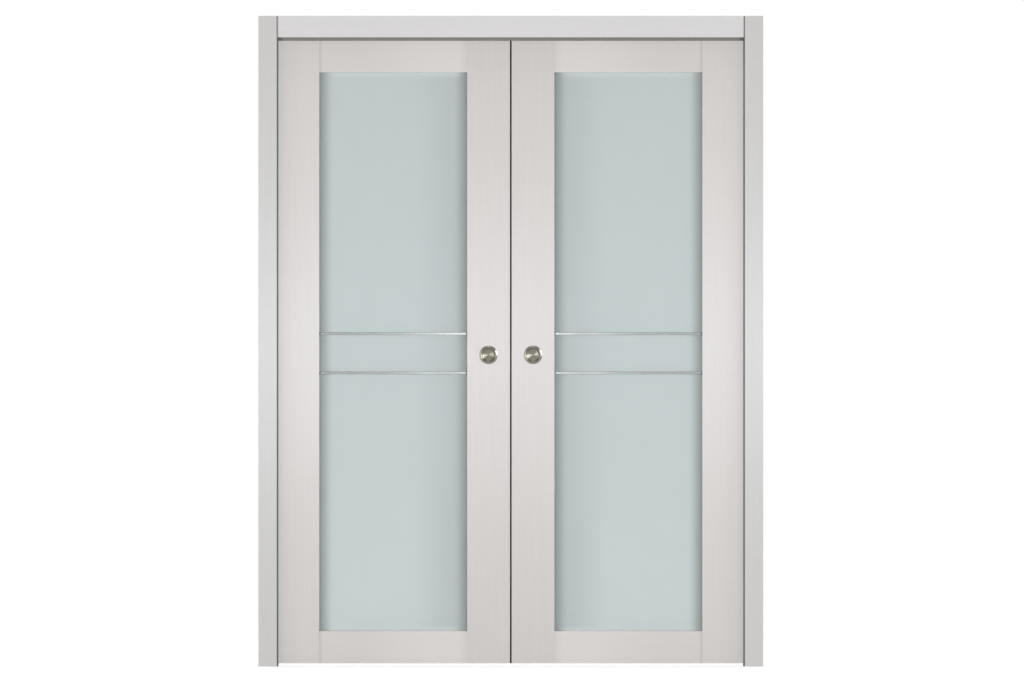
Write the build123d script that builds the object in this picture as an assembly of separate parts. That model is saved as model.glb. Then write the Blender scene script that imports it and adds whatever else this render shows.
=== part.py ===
"""Double pocket door: two glazed leaves that hang from an overhead track and slide apart.

The frame is a split jamb on each side of the doorway, cased on both faces of the wall. Each leaf
passes between the two halves of its jamb into the hollow of the wall. Millimetres, +Z up, +X to
the right as seen from the front, front face towards -Y. The origin is on the floor, in the middle
of the doorway and of the wall's thickness.
"""

import os

from build123d import *

# Leaf
LEAF_WIDTH = 762.0
LEAF_HEIGHT = 2032.0
LEAF_THICKNESS = 44.0
STILE_WIDTH = 140.0
RAIL_HEIGHT = 105.0
LEAF_EDGE_RADIUS = 2.0
JOINT_CHAMFER = 0.6

# Glazing
GLASS_THICKNESS = 8.0
GLASS_BITE = 10.0
GLASS_PLAY = 0.3
GROOVE_DEPTH = 12.0
BAR_FACE = 8.0
BAR_PROUD = 2.0
BAR_WEB = 2.0
BAR_CHAMFER = 0.8
BAR_SPACING = 128.0
BAR_MIDDLE_HEIGHT = 1011.0

# Strip on the left leaf that closes the gap between the leaves
STRIP_THICKNESS = 14.0
STRIP_PROUD = 9.0
STRIP_BED = 6.0
STRIP_NOSE_RADIUS = 3.0
STRIP_CLEARANCE = 5.0

# Round flush pull
PULL_RADIUS = 30.0
PULL_HEIGHT = 1006.0
FLANGE_PROUD = 2.0
FLANGE_BEVEL = 3.0
DISH_RADIUS = 20.5
DISH_FLOOR_RADIUS = 18.0
DISH_DEPTH = 9.0
CUP_WALL = 2.0
CUP_PLAY = 0.3

# Clearances around the leaves
FLOOR_GAP = 10.0
MEETING_GAP = 5.0
POCKET_LAP = 6.5
FACE_CLEARANCE = 7.0
HEAD_LAP = 2.0

# Frame and casing
JAMB_WIDTH = 50.0
JAMB_DEPTH = 30.0
JAMB_CHAMFER = 1.0
SIDE_REVEAL = 5.0
HEAD_REVEAL = 11.0
CASING_WIDTH = 60.0
CASING_THICKNESS = 14.0
CASING_EDGE_RADIUS = 1.5
CASING_JOINT = 1.5
HEAD_BOARD_THICKNESS = 19.0

# Hanging gear
HANGER_INSET = 100.0
HANGER_LENGTH = 100.0
HANGER_WIDTH = 30.0
HANGER_THICKNESS = 3.0
HANGER_CHAMFER = 3.0
HANGER_DROP = 26.0
NUT_RADIUS = 7.5
NUT_HEIGHT = 8.0
BOLT_RADIUS = 4.0
BOLT_CLEARANCE = 2.0
TROLLEY_LENGTH = 32.0
TROLLEY_WIDTH = 9.0
TROLLEY_HEIGHT = 14.0
TROLLEY_CHAMFER = 2.0
WHEEL_RADIUS = 10.0
WHEEL_WIDTH = 6.0
WHEEL_SIDE_GAP = 0.8
AXLE_RADIUS = 2.5
AXLE_END = 1.0
AXLE_PLAY = 0.15
ROLLING_GAP = 0.3
TRACK_WALL = 2.5
TRACK_LIP = 3.0
TRACK_SIDE_ROOM = 3.0
TRACK_HEADROOM = 8.2

# Floor guide
GUIDE_THICKNESS = 5.0
GUIDE_CHAMFER = 1.5
GUIDE_PLAY = 1.5
GUIDE_RISE = 12.0
GUIDE_HEADROOM = 4.0
GUIDE_END_GAP = 1.0
PLATE_THICKNESS = 3.0
PLATE_HOLE_RADIUS = 2.75
PLATE_HOLE_SPACING = 30.0

# Widths, seen from the front
half_opening = LEAF_WIDTH + MEETING_GAP / 2 - POCKET_LAP
casing_inner = half_opening + SIDE_REVEAL
casing_outer = casing_inner + CASING_WIDTH
jamb_outer = half_opening + JAMB_WIDTH

# Depths, front to back
half_leaf = LEAF_THICKNESS / 2
half_slot = half_leaf + FACE_CLEARANCE
half_wall = half_slot + JAMB_DEPTH
casing_face = half_wall + CASING_THICKNESS

# Track section, sized around a trolley
half_track_inside = TROLLEY_WIDTH / 2 + WHEEL_SIDE_GAP + WHEEL_WIDTH + AXLE_END + TRACK_SIDE_ROOM
half_track = half_track_inside + TRACK_WALL
half_track_slot = BOLT_RADIUS + BOLT_CLEARANCE
track_inside_height = ROLLING_GAP + 2 * WHEEL_RADIUS + TRACK_HEADROOM
track_height = TRACK_LIP + track_inside_height + TRACK_WALL

# Heights above the floor
leaf_top = FLOOR_GAP + LEAF_HEIGHT
head_line = leaf_top - HEAD_LAP
casing_head_line = head_line + HEAD_REVEAL
track_bottom = leaf_top + HANGER_DROP
track_top = track_bottom + track_height
frame_top = track_top + HEAD_BOARD_THICKNESS

# Heights above the leaf's own foot
track_bottom_on_leaf = LEAF_HEIGHT + HANGER_DROP
nut_foot = LEAF_HEIGHT + HANGER_THICKNESS
axle_height = track_bottom_on_leaf + TRACK_LIP + ROLLING_GAP + WHEEL_RADIUS
lower_bar_height = BAR_MIDDLE_HEIGHT - BAR_SPACING / 2
upper_bar_height = BAR_MIDDLE_HEIGHT + BAR_SPACING / 2

# Places and grooves in the leaf
light_half_width = LEAF_WIDTH / 2 - STILE_WIDTH
stile_middle = light_half_width + STILE_WIDTH / 2
groove_width = GLASS_THICKNESS + 2 * GLASS_PLAY
guide_groove_width = GUIDE_THICKNESS + 2 * GUIDE_PLAY
guide_groove_depth = GUIDE_RISE + GUIDE_HEADROOM
strip_groove_width = STRIP_THICKNESS + 2 * STRIP_CLEARANCE
strip_groove_depth = STRIP_PROUD - MEETING_GAP + STRIP_CLEARANCE
cup_depth = DISH_DEPTH + CUP_WALL
cup_radius = DISH_RADIUS + CUP_WALL


def block(x_span, y_span, z_span):
    """A plain box between a low and a high value on each axis."""
    size = [high - low for low, high in (x_span, y_span, z_span)]
    middle = [(high + low) / 2 for low, high in (x_span, y_span, z_span)]
    return Pos(*middle) * Box(*size)


def left_right(piece):
    """A piece of the left-hand side and its mirror image on the right."""
    return {"left": piece, "right": mirror(piece, about=Plane.YZ)}


def front_back(piece):
    """A piece of the front face and its mirror image on the back."""
    return {"front": piece, "back": mirror(piece, about=Plane.XZ)}


# Frame

def side_casing():
    """Flat board up the left of the doorway, its two exposed long edges rounded."""
    board = block((-casing_outer, -casing_inner), (-casing_face, -half_wall), (0, frame_top))
    exposed = board.edges().filter_by(Axis.Z).group_by(Axis.Y)[0]
    return fillet(exposed, CASING_EDGE_RADIUS)


def head_casing():
    """Flat board over the doorway, butted between the two side casings."""
    half_length = casing_inner - CASING_JOINT
    board = block((-half_length, half_length), (-casing_face, -half_wall), (casing_head_line, frame_top))
    exposed = board.faces().sort_by(Axis.Y)[0].edges()
    return fillet(exposed, CASING_EDGE_RADIUS)


def side_jamb():
    """One half of the left split jamb: a post that carries the casing and the head board."""
    post = block((-jamb_outer, -half_opening), (-half_wall, -half_slot), (0, track_top))
    opening_edges = post.edges().filter_by(Axis.Z).group_by(Axis.X)[-1]
    return chamfer(opening_edges, JAMB_CHAMFER)


def head_jamb():
    """One half of the split head: a board hung under the head board, in front of the track."""
    board = block((-half_opening, half_opening), (-half_wall, -half_slot), (head_line, track_top))
    lower_edges = board.edges().filter_by(Axis.X).group_by(Axis.Z)[0]
    return chamfer(lower_edges, JAMB_CHAMFER)


def head_board():
    """Timber that lies across the four jamb posts and carries the track."""
    return block((-jamb_outer, jamb_outer), (-half_wall, half_wall), (track_top, frame_top))


def track():
    """Extruded channel with a slot below: the wheels run on its two lips."""
    section = Pos(0, track_height / 2) * Rectangle(2 * half_track, track_height)
    hollow = Rectangle(2 * half_track_inside, track_inside_height)
    section -= Pos(0, TRACK_LIP + track_inside_height / 2) * hollow
    section -= Pos(0, TRACK_LIP / 2) * Rectangle(2 * half_track_slot, TRACK_LIP)
    left_end = Plane((-jamb_outer, 0, track_bottom), x_dir=(0, 1, 0), z_dir=(1, 0, 0))
    return extrude(left_end * section, 2 * jamb_outer)


def floor_plate():
    """Steel plate on the floor that ties the two halves of the left jamb together."""
    plate = block((-jamb_outer, -half_opening), (-half_slot, half_slot), (0, PLATE_THICKNESS))
    middle = (jamb_outer + half_opening) / 2
    screw_hole = Cylinder(PLATE_HOLE_RADIUS, 2 * PLATE_THICKNESS)
    return plate - [Pos(-middle, side * PLATE_HOLE_SPACING / 2, 0) * screw_hole for side in (-1, 1)]


def floor_guide():
    """Fin on the floor plate that stands in the groove under the left leaf."""
    fin = block(
        (-jamb_outer + GUIDE_END_GAP, -half_opening - GUIDE_END_GAP),
        (-GUIDE_THICKNESS / 2, GUIDE_THICKNESS / 2),
        (PLATE_THICKNESS, FLOOR_GAP + GUIDE_RISE),
    )
    return chamfer(fin.edges().filter_by(Axis.Z), GUIDE_CHAMFER)


# Leaf, in its own frame: foot at Z = 0, centred on X and Y, meeting edge towards +X

def guide_groove():
    """The groove along the foot of the leaf that the floor guide stands in."""
    half_width = guide_groove_width / 2
    return block((-LEAF_WIDTH, LEAF_WIDTH), (-half_width, half_width), (0, guide_groove_depth))


def plain_stile():
    """The upright on the meeting side: grooved for the glass, rounded on its outer edge."""
    section = Pos(stile_middle, 0) * Rectangle(STILE_WIDTH, LEAF_THICKNESS)
    section = fillet(section.vertices().group_by(Axis.X)[-1], LEAF_EDGE_RADIUS)
    section = chamfer(section.vertices().group_by(Axis.X)[0], JOINT_CHAMFER)
    section -= Pos(light_half_width + GROOVE_DEPTH / 2, 0) * Rectangle(GROOVE_DEPTH, groove_width)
    return extrude(section, LEAF_HEIGHT) - guide_groove()


def meeting_channel(width, depth):
    """A square channel up the whole meeting edge of the leaf."""
    edge = LEAF_WIDTH / 2
    return block((edge - depth, edge), (-width / 2, width / 2), (0, LEAF_HEIGHT))


def meeting_strip():
    """Round-nosed strip bedded in the meeting edge, which reaches into the other leaf's groove."""
    length = STRIP_BED + STRIP_PROUD
    section = Pos(LEAF_WIDTH / 2 - STRIP_BED + length / 2, 0) * Rectangle(length, STRIP_THICKNESS)
    section = fillet(section.vertices().group_by(Axis.X)[-1], STRIP_NOSE_RADIUS)
    return extrude(section, LEAF_HEIGHT)


def pull_recesses():
    """The two blind holes, one from each face, that hold the cups of the pulls."""
    depth = cup_depth + CUP_PLAY
    hole = Cylinder(cup_radius + CUP_PLAY, depth, rotation=(90, 0, 0))
    offset = half_leaf - depth / 2
    return [Pos(stile_middle, side * offset, PULL_HEIGHT) * hole for side in (-1, 1)]


def bottom_rail():
    """The lower cross-piece: stub tenons in the stiles' grooves, a groove on top for the glass."""
    body = block((-light_half_width, light_half_width), (-half_leaf, half_leaf), (0, RAIL_HEIGHT))
    eased = body.edges().filter_by(Axis.Z) + body.edges().filter_by(Axis.X)
    body = chamfer(eased, JOINT_CHAMFER)
    reach = light_half_width + GROOVE_DEPTH
    tongue_depth = (-groove_width / 2, groove_width / 2)
    tenons = block((-reach, reach), tongue_depth, (0, RAIL_HEIGHT - GROOVE_DEPTH))
    groove = block((-reach, reach), tongue_depth, (RAIL_HEIGHT - GROOVE_DEPTH, RAIL_HEIGHT))
    return body + tenons - groove


def top_rail():
    """The upper cross-piece: the lower one upside down, at the head of the leaf."""
    return Pos(0, 0, LEAF_HEIGHT) * mirror(bottom_rail(), about=Plane.XY)


def glass_panes():
    """The three panes of the light, held by the grooves and parted by the two bars."""
    half_width = light_half_width + GLASS_BITE
    half_thickness = GLASS_THICKNESS / 2
    web_gap = BAR_WEB / 2 + GLASS_PLAY
    spans = {
        "lower_glass": (RAIL_HEIGHT - GLASS_BITE, lower_bar_height - web_gap),
        "middle_glass": (lower_bar_height + web_gap, upper_bar_height - web_gap),
        "upper_glass": (upper_bar_height + web_gap, LEAF_HEIGHT - RAIL_HEIGHT + GLASS_BITE),
    }
    return {
        name: block((-half_width, half_width), (-half_thickness, half_thickness), span)
        for name, span in spans.items()
    }


def glazing_bar(height):
    """A bar of H section whose web parts two panes and whose flanges lie over their edges."""
    section = Rectangle(groove_width + 2 * BAR_PROUD, BAR_FACE)
    section = chamfer(section.vertices(), BAR_CHAMFER)
    channel_depth = (BAR_FACE - BAR_WEB) / 2
    channel = Rectangle(groove_width, channel_depth)
    section -= [Pos(0, side * (BAR_WEB + channel_depth) / 2) * channel for side in (-1, 1)]
    left_end = Plane((-light_half_width, 0, height), x_dir=(0, 1, 0), z_dir=(1, 0, 0))
    return extrude(left_end * section, 2 * light_half_width)


def front_pull():
    """A dished disc turned in one piece: bevelled flange on the face, cup sunk in the stile."""
    outline = Polyline(
        (0, -cup_depth),
        (cup_radius, -cup_depth),
        (cup_radius, 0),
        (PULL_RADIUS, 0),
        (PULL_RADIUS - FLANGE_BEVEL, FLANGE_PROUD),
        (DISH_RADIUS, FLANGE_PROUD),
        (DISH_FLOOR_RADIUS, -DISH_DEPTH),
        (0, -DISH_DEPTH),
        close=True,
    )
    disc = revolve(Plane.XZ * make_face(outline), axis=Axis.Z)
    return Pos(stile_middle, -half_leaf, PULL_HEIGHT) * Rot(X=90) * disc


def hanger_places():
    """Where the two hangers of a leaf stand along its top edge."""
    reach = LEAF_WIDTH / 2 - HANGER_INSET
    return (-reach, reach)


def hanger_plate(x):
    """Plate on the top edge of the leaf, with the nut that takes the pendant bolt."""
    half_length, half_width = HANGER_LENGTH / 2, HANGER_WIDTH / 2
    plate = block(
        (x - half_length, x + half_length),
        (-half_width, half_width),
        (LEAF_HEIGHT, nut_foot),
    )
    plate = chamfer(plate.edges().filter_by(Axis.Z), HANGER_CHAMFER)
    nut = extrude(RegularPolygon(NUT_RADIUS, 6), NUT_HEIGHT)
    return plate + Pos(x, 0, nut_foot) * nut


def trolley(x):
    """Block on an axle that runs in the track, with the bolt that hangs through its slot."""
    half_length, half_width = TROLLEY_LENGTH / 2, TROLLEY_WIDTH / 2
    half_height = TROLLEY_HEIGHT / 2
    body = block(
        (x - half_length, x + half_length),
        (-half_width, half_width),
        (axle_height - half_height, axle_height + half_height),
    )
    body = chamfer(body.edges().filter_by(Axis.Y), TROLLEY_CHAMFER)
    axle_length = TROLLEY_WIDTH + 2 * (WHEEL_SIDE_GAP + WHEEL_WIDTH + AXLE_END)
    axle = Pos(x, 0, axle_height) * Cylinder(AXLE_RADIUS, axle_length, rotation=(90, 0, 0))
    bolt_length = axle_height - nut_foot
    bolt = Pos(x, 0, nut_foot + bolt_length / 2) * Cylinder(BOLT_RADIUS, bolt_length)
    return body + axle + bolt


def trolley_wheels(x):
    """The two plain rollers of one hanger's trolley."""
    tyre = Cylinder(WHEEL_RADIUS, WHEEL_WIDTH, rotation=(90, 0, 0))
    roller = tyre - Cylinder(AXLE_RADIUS + AXLE_PLAY, 2 * WHEEL_WIDTH, rotation=(90, 0, 0))
    offset = TROLLEY_WIDTH / 2 + WHEEL_SIDE_GAP + WHEEL_WIDTH / 2
    return [Pos(x, side * offset, axle_height) * roller for side in (-1, 1)]


def leaf_pieces(channel):
    """Every piece of one leaf by name, in the leaf's own frame, with its meeting edge channelled."""
    places = hanger_places()
    return {
        "meeting_stile": plain_stile() - pull_recesses() - channel,
        "pocket_stile": mirror(plain_stile(), about=Plane.YZ),
        "bottom_rail": bottom_rail() - guide_groove(),
        "top_rail": top_rail(),
        **glass_panes(),
        "lower_bar": glazing_bar(lower_bar_height),
        "upper_bar": glazing_bar(upper_bar_height),
        "front_pull": front_pull(),
        "back_pull": mirror(front_pull(), about=Plane.XZ),
        "hangers": Compound([hanger_plate(x) + trolley(x) for x in places]),
        "wheels": Compound([wheel for x in places for wheel in trolley_wheels(x)]),
    }


def frame_nodes():
    """Every fixed piece by its node name."""
    nodes = {"head_board": head_board(), "track": track()}
    for face, piece in front_back(head_casing()).items():
        nodes[f"head_casing_{face}"] = piece
    for face, piece in front_back(head_jamb()).items():
        nodes[f"head_jamb_{face}"] = piece
    for name, part in (("casing", side_casing()), ("jamb", side_jamb())):
        for face, half in front_back(part).items():
            for side, piece in left_right(half).items():
                nodes[f"{side}_{name}_{face}"] = piece
    for name, part in (("floor_plate", floor_plate()), ("floor_guide", floor_guide())):
        for side, piece in left_right(part).items():
            nodes[f"{side}_{name}"] = piece
    return nodes


def leaf_nodes():
    """Every piece of both leaves by its node name, where it hangs with the leaves closed."""
    left_leaf = leaf_pieces(meeting_channel(STRIP_THICKNESS, STRIP_BED))
    left_leaf["meeting_strip"] = meeting_strip()
    right_leaf = leaf_pieces(meeting_channel(strip_groove_width, strip_groove_depth))
    to_left = Pos(-(LEAF_WIDTH + MEETING_GAP) / 2, 0, FLOOR_GAP)
    nodes = {f"left_leaf_{name}": to_left * piece for name, piece in left_leaf.items()}
    for name, piece in right_leaf.items():
        nodes[f"right_leaf_{name}"] = mirror(to_left * piece, about=Plane.YZ)
    return nodes


os.makedirs("parts", exist_ok=True)
for node, shape in {**frame_nodes(), **leaf_nodes()}.items():
    export_step(shape, f"parts/{node}.step")
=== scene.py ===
"""Looks of the double pocket door: bleached veneer, frosted glass, turned pulls and a plain studio."""

import math

import bmesh
import bpy
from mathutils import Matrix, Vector


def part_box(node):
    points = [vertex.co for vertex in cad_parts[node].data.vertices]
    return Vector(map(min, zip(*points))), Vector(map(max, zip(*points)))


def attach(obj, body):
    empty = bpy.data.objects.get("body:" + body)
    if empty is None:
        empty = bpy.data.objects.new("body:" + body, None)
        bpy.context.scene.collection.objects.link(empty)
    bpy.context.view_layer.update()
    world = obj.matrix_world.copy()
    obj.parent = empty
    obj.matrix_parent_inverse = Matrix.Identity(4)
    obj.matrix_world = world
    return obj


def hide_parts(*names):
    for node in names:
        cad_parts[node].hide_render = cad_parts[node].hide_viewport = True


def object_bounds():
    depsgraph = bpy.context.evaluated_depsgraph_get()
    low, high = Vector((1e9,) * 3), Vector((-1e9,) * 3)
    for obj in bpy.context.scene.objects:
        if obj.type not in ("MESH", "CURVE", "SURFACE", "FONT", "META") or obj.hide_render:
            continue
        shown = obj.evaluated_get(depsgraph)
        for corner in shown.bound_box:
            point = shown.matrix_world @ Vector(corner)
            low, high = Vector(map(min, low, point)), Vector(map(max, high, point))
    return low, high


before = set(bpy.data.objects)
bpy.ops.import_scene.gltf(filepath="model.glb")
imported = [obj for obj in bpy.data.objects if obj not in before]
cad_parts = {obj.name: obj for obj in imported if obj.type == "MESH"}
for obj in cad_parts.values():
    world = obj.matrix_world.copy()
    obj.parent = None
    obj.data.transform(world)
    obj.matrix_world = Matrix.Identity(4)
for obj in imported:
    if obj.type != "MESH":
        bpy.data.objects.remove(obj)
cad_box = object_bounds()

# Photograph, in pixels
IMAGE_WIDTH_PX = 1024
IMAGE_CENTRE_PX = (512.0, 341.5)
DOOR_CENTRE_PX = (510.8, 341.2)
DOOR_WIDTH_PX = 505.0

# Camera
CAMERA_DISTANCE = 90.0
SENSOR_WIDTH_MM = 36.0
CLIP_END = 200.0
LEVEL = math.radians(90.0)

# Surround, and a backdrop that dims with the height of a direction
AMBIENT_STRENGTH = 0.25
BACKDROP_STRENGTH = 1.0
BACKDROP_TOP = 0.25
BACKDROP_DIM_FROM = 0.25
BACKDROP_DIM_TO = 0.6

# Floor
FLOOR_SIZE = 16.0
FLOOR_COLOUR = (0.9, 0.9, 0.9, 1.0)
FLOOR_ROUGHNESS = 0.9
FLOOR_LIFT = 0.45

# Lights for the whole door
SUN_STRENGTH = 1.26
SUN_SPREAD = math.radians(60.0)
SIDE_DISTANCE = 6.0
SIDE_SIZE = (0.4, 3.0)
SIDE_POWER = 130.0
FILL_DISTANCE = 7.0
FILL_RISE = 0.9
FILL_SIZE = (4.0, 1.8)
FILL_POWER = 266.0
KEY_DISTANCE = 0.6
KEY_SIZE = (5.0, 0.1)
KEY_POWER = 5.4
KEY_COLOUR = (0.84, 0.87, 1.0)

# Lights for the bars and for the pulls, placed across, out from and above the middle of a face
STRIP_DISTANCE = 2.3
STRIP_SIZE = (0.64, 0.3)
STRIP_POWER = 0.84
KICKER_SIZE = (0.9, 0.9)
LEFT_KICKER_PLACE = (-1.25, 2.0, 0.1)
LEFT_KICKER_POWER = 8.0
RIGHT_KICKER_PLACE = (1.7, 2.0, 0.4)
RIGHT_KICKER_POWER = 78.0
TOP_KICKER_PLACE = (0.0, 2.0, 2.0)
TOP_KICKER_POWER = 12.0

# Colours, linear
WHITE = (1.0, 1.0, 1.0, 1.0)
LEAF_COLOUR = (0.68, 0.653, 0.630)
# A darker copy of the leaf veneer: painted shade on the meeting stiles
MEETING_STILE_SHADED_COLOUR = (0.656, 0.629, 0.607)
CASING_COLOUR = (0.622, 0.614, 0.600)
# A lighter copy of the casing veneer: painted light on the level head casings
HEAD_CASING_LIT_COLOUR = (0.714, 0.701, 0.701)
# Dark paint on the jambs, also painted shade for the gaps beside and under the casings
JAMB_SHADE_COLOUR = (0.12, 0.117, 0.113)
HEAD_JAMB_SHADE_COLOUR = (0.197, 0.190, 0.174)
SOFTWOOD_COLOUR = (0.60, 0.45, 0.29)
GLASS_COLOUR = (0.643, 0.705, 0.699)
ALUMINIUM_COLOUR = (0.41, 0.43, 0.43)
TRACK_COLOUR = (0.62, 0.63, 0.64)
NICKEL_COLOUR = (0.250, 0.238, 0.196)
ZINC_COLOUR = (0.56, 0.57, 0.58)
NYLON_COLOUR = (0.74, 0.73, 0.69)
RUBBER_COLOUR = (0.03, 0.03, 0.03)

# Roughness
TRACK_ROUGHNESS = 0.36
BAR_ROUGHNESS = 0.18
NYLON_ROUGHNESS = 0.5
RUBBER_ROUGHNESS = 0.7

# Stretches of a value from 0 to 1
WHOLE = (0.0, 1.0)
WIDE = (0.2, 0.8)
BROAD = (0.25, 0.75)
MIDDLE = (0.3, 0.7)
NARROW = (0.35, 0.65)

# Axes of the frame, and the sockets of a mix of colours
X, Z = 0, 2
MIX_FACTOR, MIX_FIRST, MIX_SECOND = 0, 6, 7
MIX_RESULT = 2


def toned(colour, gain):
    """A colour made lighter or darker, with an alpha of 1."""
    return tuple(gain * channel for channel in colour) + (1.0,)


class Graph:
    """The nodes of one material or world, added and joined one by one."""

    def __init__(self, owner):
        owner.use_nodes = True
        self.owner = owner
        self.nodes = owner.node_tree.nodes
        self.links = owner.node_tree.links
        self.shader = self.nodes.get("Principled BSDF")

    def feed(self, socket, value):
        """Joins an input to another node's socket, or sets it to a plain value."""
        if isinstance(value, bpy.types.NodeSocket):
            self.links.new(value, socket)
        else:
            socket.default_value = value

    def shade(self, **inputs):
        """Feeds the principled shader's inputs, named with underscores for spaces."""
        for name, value in inputs.items():
            self.feed(self.shader.inputs[name.replace("_", " ")], value)

    def add(self, kind, inputs, **settings):
        """A new node with its settings and its inputs, by name or number."""
        node = self.nodes.new(kind)
        for name, value in settings.items():
            setattr(node, name, value)
        for key, value in inputs.items():
            self.feed(node.inputs[key], value)
        return node

    def position(self):
        """Where a point lies on its own piece, in metres of the shared frame."""
        return self.add("ShaderNodeTexCoord", {}).outputs["Object"]

    def stretched(self, scale, offset=(0.0, 0.0, 0.0)):
        """The position, scaled by axis after a shift."""
        shifted = self.add("ShaderNodeVectorMath", {0: self.position(), 1: offset}, operation="SUBTRACT")
        scaled = self.add("ShaderNodeVectorMath", {0: shifted.outputs[0], 1: scale}, operation="MULTIPLY")
        return scaled.outputs[0]

    def along(self, grain, shrink):
        """The position, drawn out along one axis."""
        scale = [1.0, 1.0, 1.0]
        scale[grain] = shrink
        return self.stretched(scale)

    def axis(self, vector, index):
        """One coordinate of a vector."""
        return self.add("ShaderNodeSeparateXYZ", {0: vector}).outputs[index]

    def math(self, operation, *values):
        """Arithmetic on plain numbers."""
        return self.add("ShaderNodeMath", dict(enumerate(values)), operation=operation).outputs[0]

    def from_middle(self):
        """How far a point lies from the middle of the doorway, to either side."""
        return self.math("ABSOLUTE", self.axis(self.position(), X))

    def inside(self, value, low, high):
        """How far a value lies inside the nearer of two bounds."""
        off_centre = self.math("ABSOLUTE", self.math("SUBTRACT", value, (low + high) / 2))
        return self.math("SUBTRACT", (high - low) / 2, off_centre)

    def noise(self, vector, scale, detail=2.0, roughness=0.5):
        """Smooth noise from 0 to 1."""
        inputs = {"Vector": vector, "Scale": scale, "Detail": detail, "Roughness": roughness}
        return self.add("ShaderNodeTexNoise", inputs).outputs[0]

    def span(self, value, stretch, ends=WHOLE):
        """A value that goes smoothly from one end to the other as another covers a stretch."""
        low, high = stretch
        start, end = ends
        inputs = {"Value": value, "From Min": low, "From Max": high, "To Min": start, "To Max": end}
        return self.add("ShaderNodeMapRange", inputs, interpolation_type="SMOOTHSTEP").outputs[0]

    def mix(self, factor, first, second):
        """A blend of two colours."""
        inputs = {MIX_FACTOR: factor, MIX_FIRST: first, MIX_SECOND: second}
        return self.add("ShaderNodeMix", inputs, data_type="RGBA").outputs[MIX_RESULT]

    def shades(self, factor, colour, gains):
        """A blend of two tones of one colour."""
        first, second = gains
        return self.mix(factor, toned(colour, first), toned(colour, second))

    def wash(self, base, cover, weight, colour):
        """A colour laid thinly over another, as a cover from 0 to 1 tells."""
        return self.mix(self.math("MULTIPLY", cover, weight), base, colour)

    def bump(self, height, distance, strength):
        """Feeds the shader's normal from a height in units of a distance in metres."""
        inputs = {"Height": height, "Distance": distance, "Strength": strength}
        self.shade(Normal=self.add("ShaderNodeBump", inputs).outputs[0])


def material_graph(name):
    """The graph of a new material."""
    return Graph(bpy.data.materials.new(name))


# Timber

def veneer_grain(name, grain):
    """The graph of a new veneer, the position drawn out along its grain, and its fine fibres."""
    shrink, fibre_scale = 0.03, 620.0
    graph = material_graph(name)
    vector = graph.along(grain, shrink)
    return graph, vector, graph.noise(vector, fibre_scale, detail=4.0, roughness=0.62)


def wood_base(graph, colour, vector, fibres):
    """The colour of bleached ash: fine fibres under stripes, growth bands and broad drifts."""
    fibre_gains = (0.94, 1.06)
    stripe_scale, stripe_gain, stripe_weight = 150.0, 0.95, 0.5
    band_scale, band_gain, band_weight = 46.0, 0.97, 0.4
    drift_scale, drift_gain, drift_weight = 1.7, 1.04, 0.3
    stripes = graph.span(graph.noise(vector, stripe_scale), MIDDLE)
    bands = graph.span(graph.noise(vector, band_scale, detail=3.0, roughness=0.55), NARROW)
    drifts = graph.span(graph.noise(graph.position(), drift_scale, detail=1.0), MIDDLE)
    fine = graph.shades(fibres, colour, fibre_gains)
    striped = graph.wash(fine, stripes, stripe_weight, toned(colour, stripe_gain))
    banded = graph.wash(striped, bands, band_weight, toned(colour, band_gain))
    return graph.wash(banded, drifts, drift_weight, toned(colour, drift_gain))


def finish_veneer(graph, base, colour, vector, fibres):
    """Open pores, satin lacquer and a faint relief over a wood colour."""
    pore_scale, pore_stretch, pore_gain, pore_weight = 1500.0, (0.62, 0.72), 0.80, 0.35
    lacquer_roughness, lacquer_gloss = (0.42, 0.56), 0.4
    relief, relief_strength = 0.00012, 0.6
    pores = graph.span(graph.noise(vector, pore_scale), pore_stretch)
    graph.shade(
        Base_Color=graph.wash(base, pores, pore_weight, toned(colour, pore_gain)),
        Roughness=graph.span(fibres, WIDE, lacquer_roughness),
        Specular_IOR_Level=lacquer_gloss,
    )
    graph.bump(graph.math("SUBTRACT", fibres, pores), relief, relief_strength)
    return graph.owner


def veneer(name, colour, grain):
    """Bleached ash veneer along one axis."""
    graph, vector, fibres = veneer_grain(name, grain)
    return finish_veneer(graph, wood_base(graph, colour, vector, fibres), colour, vector, fibres)


def rail_veneer(name, colour, inner, outer):
    """Level veneer of a rail: paler in its meeting half, with soft painted shade in the joint at the pocket
    stile.
    """
    pale_gain, pale_margin, end_blend = 1.065, 0.10, 0.030
    joint_shade_gain, joint_shade_from, joint_shade_to = 0.875, 0.011, 0.003
    graph, vector, fibres = veneer_grain(name, X)
    across = graph.from_middle()
    meeting_half = graph.span(across, (inner + pale_margin, outer - pale_margin), ends=(1.0, 0.0))
    off_meeting_end = graph.span(across, (inner, inner + end_blend))
    pale_part = graph.math("MULTIPLY", meeting_half, off_meeting_end)
    paled = graph.mix(pale_part, wood_base(graph, colour, vector, fibres), toned(colour, pale_gain))
    # painted shade in the joint beside the pocket stile
    near_pocket_stile = graph.span(across, (outer - joint_shade_from, outer - joint_shade_to))
    joint_shaded = graph.mix(near_pocket_stile, paled, toned(colour, joint_shade_gain))
    return finish_veneer(graph, joint_shaded, colour, vector, fibres)


def head_veneer(name, colour, end):
    """Level veneer of a head casing, with painted shade in the joints where its ends butt against the side
    casings.
    """
    joint_shade_gain, joint_shade_from, joint_shade_to = 0.5, 0.005, 0.002
    graph, vector, fibres = veneer_grain(name, X)
    # painted shade in the butt joints at both ends
    near_end = graph.span(graph.from_middle(), (end - joint_shade_from, end - joint_shade_to))
    joint_shaded = graph.mix(near_end, wood_base(graph, colour, vector, fibres), toned(colour, joint_shade_gain))
    return finish_veneer(graph, joint_shaded, colour, vector, fibres)


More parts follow.
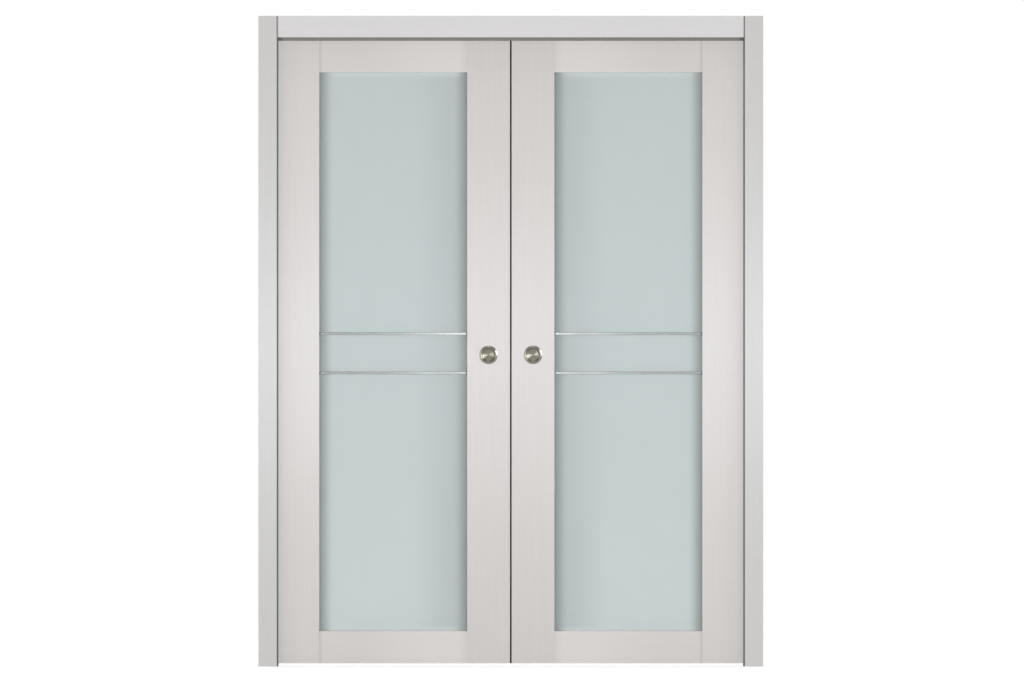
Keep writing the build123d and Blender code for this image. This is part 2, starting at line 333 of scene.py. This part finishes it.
def softwood(name, colour, pith):
    """Sawn pine: growth rings about a pith, fibres along the board and saw marks across it."""
    ring_shape, ring_scale, ring_wander = (0.05, 1.0, 1.0), 90.0, 3.0
    late_wood_stretch, ring_gains = (0.3, 1.0), (1.08, 0.78)
    fibre_shrink, fibre_scale, fibre_gain, fibre_weight = 0.05, 700.0, 0.70, 0.35
    saw_shape, saw_scale = (260.0, 6.0, 6.0), 1.0
    sawn_roughness = (0.62, 0.8)
    relief, relief_strength = 0.00025, 0.7
    graph = material_graph(name)
    about_pith = graph.stretched(ring_shape, pith)
    ring_inputs = {"Vector": about_pith, "Scale": ring_scale, "Distortion": ring_wander}
    ring_settings = {"wave_type": "RINGS", "rings_direction": "X", "wave_profile": "SAW"}
    rings = graph.add("ShaderNodeTexWave", ring_inputs, **ring_settings)
    late_wood = graph.span(rings.outputs["Fac"], late_wood_stretch)
    fibres = graph.noise(graph.along(X, fibre_shrink), fibre_scale, detail=3.0, roughness=0.6)
    saw_marks = graph.noise(graph.stretched(saw_shape), saw_scale, detail=1.0)
    base = graph.shades(late_wood, colour, ring_gains)
    graph.shade(
        Base_Color=graph.wash(base, fibres, fibre_weight, toned(colour, fibre_gain)),
        Roughness=graph.span(fibres, WIDE, sawn_roughness),
    )
    graph.bump(graph.math("ADD", fibres, saw_marks), relief, relief_strength)
    return graph.owner


def brush_paint(graph, colour, grain):
    """Satin paint with faint brush marks along the grain and a little unevenness; returns its colour."""
    brush_shrink, brush_scale, brush_gains = 0.04, 420.0, (0.92, 1.08)
    patch_scale, patch_gain, patch_weight = 9.0, 1.12, 0.3
    paint_roughness = (0.45, 0.6)
    relief, relief_strength = 0.0001, 0.5
    brushing = graph.noise(graph.along(grain, brush_shrink), brush_scale, detail=3.0, roughness=0.6)
    patches = graph.noise(graph.position(), patch_scale)
    graph.shade(Roughness=graph.span(patches, MIDDLE, paint_roughness))
    graph.bump(brushing, relief, relief_strength)
    base = graph.shades(brushing, colour, brush_gains)
    return graph.wash(base, patches, patch_weight, toned(colour, patch_gain))


def painted_jamb(name, colour):
    """Dark paint of the upright jambs, dark enough to be painted shade for the gap beside the casings."""
    graph = material_graph(name)
    graph.shade(Base_Color=brush_paint(graph, colour, Z))
    return graph.owner


def painted_head(name, colour, end):
    """Grey paint of the head jambs, which is also painted shade under the head casing, with more painted
    shade in the corners beside the side casings.
    """
    corner_shade_gain, corner_from, corner_to = 0.35, 0.028, 0.004
    graph = material_graph(name)
    # painted shade, darkest in the corners beside the side casings
    near_end = graph.span(graph.from_middle(), (end - corner_from, end - corner_to))
    plain_paint = brush_paint(graph, colour, X)
    graph.shade(Base_Color=graph.mix(near_end, plain_paint, toned(colour, corner_shade_gain)))
    return graph.owner


# Glass, metal and mouldings

def frosted_glass(name, inner, outer, foot, head):
    """Etched glass with painted shade towards the stiles and the meeting side, and painted light at the
    rails and towards the foot.
    """
    stile_reach, stile_shade_gain = 0.047, 0.60
    rail_reach, rail_light_gain = 0.022, 1.13
    meeting_from, meeting_to, meeting_shade_gain = 0.05, 0.18, 0.91
    foot_reach, foot_light_gain, body_gain = 0.9, 1.045, 0.983
    cloud_scale, cloud_gain, cloud_weight = 14.0, 1.03, 0.4
    etching_scale, etching_depth, etching_strength = 2600.0, 0.00004, 0.5
    etched_roughness, etched_gloss = (0.55, 0.7), 0.3
    clearness, refraction = 0.8, 1.5
    graph = material_graph(name)
    across = graph.from_middle()
    height = graph.axis(graph.position(), Z)
    clouds = graph.noise(graph.position(), cloud_scale, detail=3.0, roughness=0.55)
    etching = graph.noise(graph.position(), etching_scale, detail=3.0, roughness=0.7)
    # painted light, paler towards the foot
    above_foot = graph.span(height, (foot, foot + foot_reach))
    even = graph.shades(above_foot, GLASS_COLOUR, (foot_light_gain, body_gain))
    clouded = graph.wash(even, clouds, cloud_weight, toned(GLASS_COLOUR, cloud_gain))
    # painted shade over a broad band on the meeting side
    off_meeting_side = graph.span(across, (inner + meeting_from, inner + meeting_to))
    meeting_shaded = graph.mix(off_meeting_side, toned(GLASS_COLOUR, meeting_shade_gain), clouded)
    # painted light along the rails, against the shade of their recess
    off_rails = graph.span(graph.inside(height, foot, head), (0.0, rail_reach))
    paled = graph.mix(off_rails, toned(GLASS_COLOUR, rail_light_gain), meeting_shaded)
    # painted shade in the recess beside the stiles
    off_stile_shade = graph.span(graph.inside(across, inner, outer), (0.0, stile_reach))
    graph.shade(
        Base_Color=graph.mix(off_stile_shade, toned(GLASS_COLOUR, stile_shade_gain), paled),
        Roughness=graph.span(etching, BROAD, etched_roughness),
        Transmission_Weight=clearness,
        IOR=refraction,
        Specular_IOR_Level=etched_gloss,
    )
    graph.bump(etching, etching_depth, etching_strength)
    return graph.owner


def brush_metal(graph, colour, roughness):
    """Satin metal with fine lines drawn along the doorway; returns its colour."""
    line_shrink, line_scale, line_gains = 0.01, 2400.0, (0.93, 1.07)
    smudge_scale, smoother, rougher = 30.0, 0.03, 0.04
    relief, relief_strength = 0.00001, 0.4
    lines = graph.noise(graph.along(X, line_shrink), line_scale, roughness=0.6)
    smudges = graph.noise(graph.position(), smudge_scale)
    satin = graph.span(smudges, MIDDLE, (roughness - smoother, roughness + rougher))
    graph.shade(Metallic=1.0, Roughness=satin)
    graph.bump(lines, relief, relief_strength)
    return graph.shades(lines, colour, line_gains)


def track_metal(name, colour):
    """Satin metal of the track."""
    graph = material_graph(name)
    graph.shade(Base_Color=brush_metal(graph, colour, TRACK_ROUGHNESS))
    return graph.owner


def bar_metal(name, colour, inner, outer):
    """Smoother satin metal of the bars, with painted shade in the corners where they meet the stiles."""
    end_from, end_to, end_shade_gain = 0.0025, 0.0055, 0.3
    graph = material_graph(name)
    plain_metal = brush_metal(graph, colour, BAR_ROUGHNESS)
    # painted shade at both ends of each bar
    off_ends = graph.span(graph.inside(graph.from_middle(), inner, outer), (end_from, end_to))
    graph.shade(Base_Color=graph.mix(off_ends, toned(colour, end_shade_gain), plain_metal))
    return graph.owner


def zinc(name, colour):
    """Plated steel: a dull crystalline mottle with a soft shine."""
    crystal_scale, crystal_gains, crystal_roughness = 420.0, (0.9, 1.08), (0.32, 0.46)
    cloud_scale, cloud_gain, cloud_weight = 60.0, 0.85, 0.3
    relief, relief_strength = 0.00003, 0.5
    graph = material_graph(name)
    crystals = graph.add("ShaderNodeTexVoronoi", {"Vector": graph.position(), "Scale": crystal_scale})
    mottle = graph.axis(crystals.outputs["Color"], X)
    clouds = graph.noise(graph.position(), cloud_scale)
    base = graph.shades(mottle, colour, crystal_gains)
    graph.shade(
        Base_Color=graph.wash(base, clouds, cloud_weight, toned(colour, cloud_gain)),
        Metallic=1.0,
        Roughness=graph.span(mottle, WHOLE, crystal_roughness),
    )
    graph.bump(clouds, relief, relief_strength)
    return graph.owner


def moulded(name, colour, roughness):
    """Moulded plastic or rubber with a fine matt grain."""
    grain_scale, grain_depth, grain_strength, grain_variety = 1800.0, 0.00004, 0.6, 0.06
    cloud_scale, cloud_gains = 40.0, (0.93, 1.07)
    graph = material_graph(name)
    grain = graph.noise(graph.position(), grain_scale, detail=3.0, roughness=0.65)
    clouds = graph.noise(graph.position(), cloud_scale)
    graph.shade(
        Base_Color=graph.shades(clouds, colour, cloud_gains),
        Roughness=graph.span(grain, BROAD, (roughness - grain_variety, roughness + grain_variety)),
    )
    graph.bump(grain, grain_depth, grain_strength)
    return graph.owner


def turned_nickel(name, centre):
    """Satin nickel turned on a lathe: fine rings about the middle of a pull spread its shine outwards."""
    ring_plane, ring_scale = (1.0, 0.0, 1.0), 5200.0
    ring_gains, ring_roughness = (0.9, 1.1), (0.32, 0.40)
    tarnish_scale, tarnish_gain, tarnish_weight = 120.0, 0.75, 0.3
    shine_stretch, quarter_turn = 0.9, 0.25
    relief, relief_strength = 0.00001, 0.3
    graph = material_graph(name)
    spoke = graph.stretched(ring_plane, centre)
    radius = graph.add("ShaderNodeVectorMath", {0: spoke}, operation="LENGTH").outputs["Value"]
    outwards = graph.add("ShaderNodeCombineXYZ", {0: radius}).outputs[0]
    rings = graph.noise(outwards, ring_scale, roughness=0.7)
    tarnish = graph.noise(graph.position(), tarnish_scale, detail=3.0, roughness=0.6)
    base = graph.shades(rings, NICKEL_COLOUR, ring_gains)
    graph.shade(
        Base_Color=graph.wash(base, tarnish, tarnish_weight, toned(NICKEL_COLOUR, tarnish_gain)),
        Metallic=1.0,
        Roughness=graph.span(rings, BROAD, ring_roughness),
        Anisotropic=shine_stretch,
        Anisotropic_Rotation=quarter_turn,
        Tangent=graph.add("ShaderNodeTangent", {}, direction_type="RADIAL", axis="Y").outputs[0],
    )
    graph.bump(rings, relief, relief_strength)
    return graph.owner


# Dressing of the solids

def dress(material, *nodes):
    """Gives CAD nodes a material."""
    for node in nodes:
        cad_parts[node].material_slots[0].material = material


def dress_leaves():
    """Gives the pieces of both leaves, and what guides them at the floor, their materials."""
    low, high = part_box("right_leaf_lower_bar")
    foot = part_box("right_leaf_bottom_rail")[1].z
    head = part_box("right_leaf_top_rail")[0].z
    glass = frosted_glass("frosted_glass", low.x, high.x, foot, head)
    rails = rail_veneer("leaf_veneer_level", LEAF_COLOUR, low.x, high.x)
    pocket_stiles = veneer("leaf_veneer_pocket_stile", LEAF_COLOUR, Z)
    # The meeting stiles take a darker copy of the same veneer as painted shade
    meeting_stiles = veneer("leaf_veneer_meeting_stile", MEETING_STILE_SHADED_COLOUR, Z)
    bars = bar_metal("satin_aluminium_bar", ALUMINIUM_COLOUR, low.x, high.x)
    steel = zinc("zinc_steel", ZINC_COLOUR)
    nylon = moulded("nylon", NYLON_COLOUR, NYLON_ROUGHNESS)
    for side in ("left", "right"):
        leaf = f"{side}_leaf_"
        dress(pocket_stiles, leaf + "pocket_stile")
        dress(meeting_stiles, leaf + "meeting_stile")
        dress(rails, leaf + "bottom_rail", leaf + "top_rail")
        dress(glass, leaf + "lower_glass", leaf + "middle_glass", leaf + "upper_glass")
        dress(bars, leaf + "lower_bar", leaf + "upper_bar")
        dress(steel, leaf + "hangers", f"{side}_floor_plate")
        dress(nylon, leaf + "wheels", f"{side}_floor_guide")
    dress(moulded("seal_rubber", RUBBER_COLOUR, RUBBER_ROUGHNESS), "left_leaf_meeting_strip")


def dress_frame():
    """Gives the casings, the jambs, the head board and the track their materials."""
    pith_back, pith_below = 0.012, 0.035
    casings = veneer("casing_veneer_upright", CASING_COLOUR, Z)
    head_casings = head_veneer("casing_veneer_level", HEAD_CASING_LIT_COLOUR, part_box("head_casing_front")[1].x)
    jambs = painted_jamb("jamb_paint", JAMB_SHADE_COLOUR)
    head_jambs = painted_head("head_paint", HEAD_JAMB_SHADE_COLOUR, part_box("right_casing_front")[0].x)
    for face in ("front", "back"):
        dress(casings, f"left_casing_{face}", f"right_casing_{face}")
        dress(head_casings, f"head_casing_{face}")
        dress(jambs, f"left_jamb_{face}", f"right_jamb_{face}")
        dress(head_jambs, f"head_jamb_{face}")
    pith = (0.0, pith_back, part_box("head_board")[0].z - pith_below)
    dress(softwood("head_timber", SOFTWOOD_COLOUR, pith), "head_board")
    dress(track_metal("satin_aluminium_track", TRACK_COLOUR), "track")


# Turned pulls, with the angles of their half section in degrees
PULL_STEPS = 96
CURVE_STEPS = 8
DISH_RADIUS = 0.0185
DISH_DEPTH = 0.0065
DISH_ROLL = 0.002
WALL_SLOPE = 75.0
LIP_ROLL = 0.002
EDGE_HEIGHT = 0.0005
CUP_RADIUS = 0.0225
OUTWARD = 90.0
INWARD = 270.0
SHARP_ANGLE = math.radians(40.0)


def new_piece(name, mesh, material):
    """An object of its own from a built mesh."""
    data = bpy.data.meshes.new(name)
    mesh.to_mesh(data)
    mesh.free()
    data.materials.append(material)
    piece = bpy.data.objects.new(name, data)
    bpy.context.scene.collection.objects.link(piece)
    return piece


def arc(centre, radius, start, end):
    """Points of a circular arc between two angles in degrees."""
    angles = [math.radians(start + (end - start) * step / CURVE_STEPS) for step in range(CURVE_STEPS + 1)]
    return [(centre[0] + radius * math.cos(a), centre[1] + radius * math.sin(a)) for a in angles]


def pull_profile(outer_radius, proud, depth):
    """Half section of a pull, from the middle of its dish outwards and round to the back of its cup."""
    slope = math.radians(WALL_SLOPE)
    dish = arc((DISH_RADIUS, DISH_ROLL - DISH_DEPTH), DISH_ROLL, INWARD, INWARD + WALL_SLOPE)
    wall_radius, wall_foot = dish[-1]
    wall_top = proud - LIP_ROLL * (1 - math.cos(slope))
    crest = wall_radius + (wall_top - wall_foot) / math.tan(slope) + LIP_ROLL * math.sin(slope)
    lip = arc((crest, proud - LIP_ROLL), LIP_ROLL, OUTWARD + WALL_SLOPE, OUTWARD)
    run, drop = outer_radius - crest, proud - EDGE_HEIGHT
    brow_radius = (run ** 2 + drop ** 2) / (2 * drop)
    brow_sweep = math.degrees(math.asin(run / brow_radius))
    brow = arc((crest, proud - brow_radius), brow_radius, OUTWARD, OUTWARD - brow_sweep)
    back = [(outer_radius, 0.0), (CUP_RADIUS, 0.0), (CUP_RADIUS, -depth), (0.0, -depth)]
    return [(0.0, -DISH_DEPTH)] + dish + lip + brow[1:] + back


def lathe(profile, seat, outward):
    """A mesh turned from a half section, about an axis through its seat that points out of the leaf."""
    mesh = bmesh.new()
    rings = []
    for radius, height in profile:
        count = PULL_STEPS if radius > 0 else 1
        angles = [2 * math.pi * step / count for step in range(count)]
        spokes = [Vector((radius * math.cos(a), outward * height, radius * math.sin(a))) for a in angles]
        rings.append([mesh.verts.new(seat + spoke) for spoke in spokes])
    for inner, outer in zip(rings, rings[1:]):
        for step in range(PULL_STEPS):
            following = (step + 1) % PULL_STEPS
            corners = [inner[step % len(inner)], outer[step % len(outer)]]
            corners += [outer[following % len(outer)], inner[following % len(inner)]]
            mesh.faces.new(list(dict.fromkeys(corners)))
    bmesh.ops.recalc_face_normals(mesh, faces=mesh.faces)
    return mesh


def turned_pull(side, face):
    """A crowned and dished pull, in the place of its plain CAD solid."""
    body = f"{side}_leaf"
    node = f"{body}_{face}_pull"
    outward = -1.0 if face == "front" else 1.0
    low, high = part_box(node)
    leaf_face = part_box(f"{body}_meeting_stile")[1].y
    proud = max(-low.y, high.y) - leaf_face
    depth = high.y - low.y - proud
    seat = Vector(((low.x + high.x) / 2, outward * leaf_face, (low.z + high.z) / 2))
    mesh = lathe(pull_profile((high.x - low.x) / 2, proud, depth), seat, outward)
    piece = new_piece(f"{node}_turned", mesh, turned_nickel(f"turned_nickel_{node}", seat))
    for polygon in piece.data.polygons:
        polygon.use_smooth = True
    piece.data.set_sharp_from_angle(angle=SHARP_ANGLE)
    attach(piece, body)
    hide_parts(node)
    return piece


# Studio

def seen_directly(graph):
    """1 for rays that see a backdrop as it is: from the camera, off gloss and through glass."""
    path = graph.add("ShaderNodeLightPath", {})
    reflected = graph.math("MAXIMUM", path.outputs["Is Camera Ray"], path.outputs["Is Glossy Ray"])
    return graph.math("MAXIMUM", reflected, path.outputs["Is Transmission Ray"])


def build_world():
    """A soft surround, in front of a white backdrop that dims overhead."""
    world = bpy.data.worlds.new("studio")
    graph = Graph(world)
    height = graph.axis(graph.add("ShaderNodeTexCoord", {}).outputs["Generated"], Z)
    dimming = (BACKDROP_DIM_FROM, BACKDROP_DIM_TO)
    strength = graph.span(height, dimming, (BACKDROP_STRENGTH, BACKDROP_TOP))
    ambient = graph.add("ShaderNodeBackground", {"Color": WHITE, "Strength": AMBIENT_STRENGTH}).outputs[0]
    backdrop = graph.add("ShaderNodeBackground", {"Color": WHITE, "Strength": strength}).outputs[0]
    whole = graph.add("ShaderNodeMixShader", {0: seen_directly(graph), 1: ambient, 2: backdrop})
    graph.feed(graph.nodes["World Output"].inputs["Surface"], whole.outputs[0])
    bpy.context.scene.world = world


def build_floor():
    """A pale matt floor that shows white to the eye and keeps the door's shadow."""
    graph = material_graph("studio_floor")
    lift = graph.math("MULTIPLY", seen_directly(graph), FLOOR_LIFT)
    graph.shade(Base_Color=FLOOR_COLOUR, Roughness=FLOOR_ROUGHNESS, Specular_IOR_Level=0.0)
    graph.shade(Emission_Color=WHITE, Emission_Strength=lift)
    mesh = bmesh.new()
    bmesh.ops.create_grid(mesh, x_segments=1, y_segments=1, size=FLOOR_SIZE / 2)
    new_piece("studio_floor", mesh, graph.owner)


def build_overhead():
    """A very soft light from straight above."""
    lamp = bpy.data.lights.new("overhead", "SUN")
    lamp.energy = SUN_STRENGTH
    lamp.angle = SUN_SPREAD
    bpy.context.scene.collection.objects.link(bpy.data.objects.new("overhead", lamp))


def soft_light(name, place, aim, size, power, reached):
    """A rectangular light on a collection of pieces, which points at a place and isn't seen itself."""
    lamp = bpy.data.lights.new(name, "AREA")
    lamp.shape = "RECTANGLE"
    lamp.size, lamp.size_y = size
    lamp.energy = power
    light = bpy.data.objects.new(name, lamp)
    light.location = place
    light.rotation_euler = (aim - place).to_track_quat("-Z", "Y").to_euler()
    light.visible_camera = False
    light.visible_transmission = False
    light.light_linking.receiver_collection = reached
    bpy.context.scene.collection.objects.link(light)
    return light


def broad_light(name, place, aim, size, power, reached):
    """A soft light for matt surfaces, which gloss doesn't mirror."""
    light = soft_light(name, place, aim, size, power, reached)
    light.visible_glossy = False
    return light


def collected(name, pieces):
    """A new collection of pieces."""
    collection = bpy.data.collections.new(name)
    for piece in pieces:
        collection.objects.link(piece)
    return collection


def nodes_without(*words):
    """The CAD nodes whose names hold none of some words."""
    return [node for name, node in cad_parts.items() if not any(word in name for word in words)]


def light_groups(pulls):
    """Collections of the pieces that a light reaches, or that alone can block it, by name."""
    groups = {
        "bars": [node for name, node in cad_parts.items() if name.endswith("_bar")],
        "pulls": pulls,
        "door": nodes_without() + pulls,
        "faces": nodes_without("head_board") + pulls,
        "behind_frame": nodes_without("casing", "jamb") + pulls,
    }
    return {name: collected(name, pieces) for name, pieces in groups.items()}


def build_side_fills(middle, groups):
    """A weak fill beside each end of the door."""
    for hand, across in (("left", -1.0), ("right", 1.0)):
        beside = middle + Vector((across * SIDE_DISTANCE, 0.0, 0.0))
        broad_light(f"{hand}_fill", beside, middle, SIDE_SIZE, SIDE_POWER, groups["door"])


def build_face_lights(face, start, ahead, middle, groups):
    """A broad fill and a level key on one face of the door, which casings and jambs don't block."""
    above = start + ahead * FILL_DISTANCE + Vector((0.0, 0.0, FILL_RISE))
    fill = broad_light(f"{face}_fill", above, middle, FILL_SIZE, FILL_POWER, groups["faces"])
    near = start + ahead * KEY_DISTANCE
    key = broad_light(f"{face}_key", near, middle, KEY_SIZE, KEY_POWER, groups["faces"])
    key.data.color = KEY_COLOUR
    for light in (fill, key):
        light.light_linking.blocker_collection = groups["behind_frame"]


def build_metal_lights(face, start, ahead, middle, groups):
    """A strip for the bars alone and three lights for the pulls alone, on one face of the door."""
    kickers = {
        "left": (LEFT_KICKER_PLACE, LEFT_KICKER_POWER),
        "right": (RIGHT_KICKER_PLACE, RIGHT_KICKER_POWER),
        "top": (TOP_KICKER_PLACE, TOP_KICKER_POWER),
    }
    opposite = start + ahead * STRIP_DISTANCE
    soft_light(f"{face}_strip", opposite, middle, STRIP_SIZE, STRIP_POWER, groups["bars"])
    for hand, ((across, out, up), power) in kickers.items():
        place = start + ahead * out + Vector((across, 0.0, up))
        soft_light(f"{face}_{hand}_kicker", place, middle, KICKER_SIZE, power, groups["pulls"])


def build_lights(middle, half_depth, pulls):
    """Weak fills beside the door, and on each of its faces lights for the whole and for the metal."""
    groups = light_groups(pulls)
    build_side_fills(middle, groups)
    for face, outward in (("front", -1.0), ("back", 1.0)):
        ahead = Vector((0.0, outward, 0.0))
        start = middle + ahead * half_depth
        build_face_lights(face, start, ahead, middle, groups)
        build_metal_lights(face, start, ahead, middle, groups)


def build_camera(low, high):
    """A long lens straight in front, framed as the photograph is."""
    scale = (high.x - low.x) / DOOR_WIDTH_PX
    aim_x = (low.x + high.x) / 2 + (IMAGE_CENTRE_PX[0] - DOOR_CENTRE_PX[0]) * scale
    aim_z = (low.z + high.z) / 2 - (IMAGE_CENTRE_PX[1] - DOOR_CENTRE_PX[1]) * scale
    data = bpy.data.cameras.new("camera")
    data.sensor_width = SENSOR_WIDTH_MM
    data.lens = SENSOR_WIDTH_MM * CAMERA_DISTANCE / (IMAGE_WIDTH_PX * scale)
    data.clip_end = CLIP_END
    camera = bpy.data.objects.new("camera", data)
    camera.location = (aim_x, low.y - CAMERA_DISTANCE, aim_z)
    camera.rotation_euler = (LEVEL, 0.0, 0.0)
    bpy.context.scene.collection.objects.link(camera)
    bpy.context.scene.camera = camera


dress_leaves()
dress_frame()
turned_pulls = [turned_pull(side, face) for side in ("left", "right") for face in ("front", "back")]

box_low, box_high = (Vector(corner) for corner in cad_box)
build_world()
build_floor()
build_overhead()
build_lights((box_low + box_high) / 2, (box_high.y - box_low.y) / 2, turned_pulls)
build_camera(box_low, box_high)
bpy.context.scene.view_settings.view_transform = "Standard"
